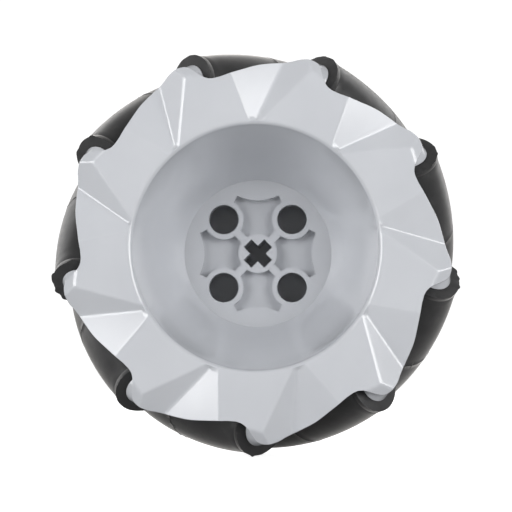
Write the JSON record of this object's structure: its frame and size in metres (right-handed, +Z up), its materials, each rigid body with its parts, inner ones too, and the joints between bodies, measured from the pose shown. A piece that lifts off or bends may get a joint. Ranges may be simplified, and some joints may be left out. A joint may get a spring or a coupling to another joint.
{
  "type": "mecanum wheel",
  "caption": "Mecanum wheel with a faceted light grey plastic hub, a deep bowl with a grid of sockets, and black rubber rollers at 45 degrees.",
  "frame": {"origin": "centre of the wheel: on its spin axis, in the middle plane of its rollers, in line with the axle socket", "axes": "the wheel spins about Y; the front face with the deep bowl and the sockets looks along -Y, and +Z is up"},
  "size_m": [0.0656, 0.0312, 0.0657],
  "materials": {
    "hub_plastic": "smooth glossy moulded plastic, light cool grey",
    "roller_rubber": "semi-matte black moulded rubber",
    "core_plastic": "matte black moulded plastic",
    "pin_steel": "ground steel",
    "screw_steel": "zinc plated steel"
  },
  "bodies": {
    "hub": {"front_hub_shell": "hub_plastic", "rear_hub_shell": "hub_plastic", "roller_pin_1": "pin_steel", "roller_pin_2": "pin_steel", "roller_pin_3": "pin_steel", "roller_pin_4": "pin_steel", "roller_pin_5": "pin_steel", "roller_pin_6": "pin_steel", "roller_pin_7": "pin_steel", "roller_pin_8": "pin_steel", "roller_pin_9": "pin_steel", "shell_screw_1": "screw_steel", "shell_screw_2": "screw_steel", "shell_screw_3": "screw_steel", "shell_screw_4": "screw_steel"},
    "roller_1": {"roller_rubber_1": "roller_rubber", "roller_core_1": "core_plastic"},
    "roller_2": {"roller_rubber_2": "roller_rubber", "roller_core_2": "core_plastic"},
    "roller_3": {"roller_rubber_3": "roller_rubber", "roller_core_3": "core_plastic"},
    "roller_4": {"roller_rubber_4": "roller_rubber", "roller_core_4": "core_plastic"},
    "roller_5": {"roller_rubber_5": "roller_rubber", "roller_core_5": "core_plastic"},
    "roller_6": {"roller_rubber_6": "roller_rubber", "roller_core_6": "core_plastic"},
    "roller_7": {"roller_rubber_7": "roller_rubber", "roller_core_7": "core_plastic"},
    "roller_8": {"roller_rubber_8": "roller_rubber", "roller_core_8": "core_plastic"},
    "roller_9": {"roller_rubber_9": "roller_rubber", "roller_core_9": "core_plastic"}
  },
  "joints": [
    {"name": "roller_1_spin", "type": "hinge", "parent": "hub", "child": "roller_1", "pos_m": [0.02571, 0, 0.00389], "axis": [-0.1057, -0.7071, 0.6992], "continuous": true},
    {"name": "roller_2_spin", "type": "hinge", "parent": "hub", "child": "roller_2", "pos_m": [0.01719, 0, 0.0195], "axis": [-0.5304, -0.7071, 0.4676], "continuous": true},
    {"name": "roller_3_spin", "type": "hinge", "parent": "hub", "child": "roller_3", "pos_m": [0.00064, 0, 0.02599], "axis": [-0.7069, -0.7071, 0.0173], "continuous": true},
    {"name": "roller_4_spin", "type": "hinge", "parent": "hub", "child": "roller_4", "pos_m": [-0.01622, 0, 0.02032], "axis": [-0.5526, -0.7071, -0.4411], "continuous": true},
    {"name": "roller_5_spin", "type": "hinge", "parent": "hub", "child": "roller_5", "pos_m": [-0.02549, 0, 0.00514], "axis": [-0.1398, -0.7071, -0.6932], "continuous": true},
    {"name": "roller_6_spin", "type": "hinge", "parent": "hub", "child": "roller_6", "pos_m": [-0.02283, 0, -0.01245], "axis": [0.3385, -0.7071, -0.6208], "continuous": true},
    {"name": "roller_7_spin", "type": "hinge", "parent": "hub", "child": "roller_7", "pos_m": [-0.00949, 0, -0.02421], "axis": [0.6584, -0.7071, -0.258], "continuous": true},
    {"name": "roller_8_spin", "type": "hinge", "parent": "hub", "child": "roller_8", "pos_m": [0.00829, 0, -0.02464], "axis": [0.6702, -0.7071, 0.2255], "continuous": true},
    {"name": "roller_9_spin", "type": "hinge", "parent": "hub", "child": "roller_9", "pos_m": [0.02219, 0, -0.01355], "axis": [0.3684, -0.7071, 0.6036], "continuous": true}
  ]
}
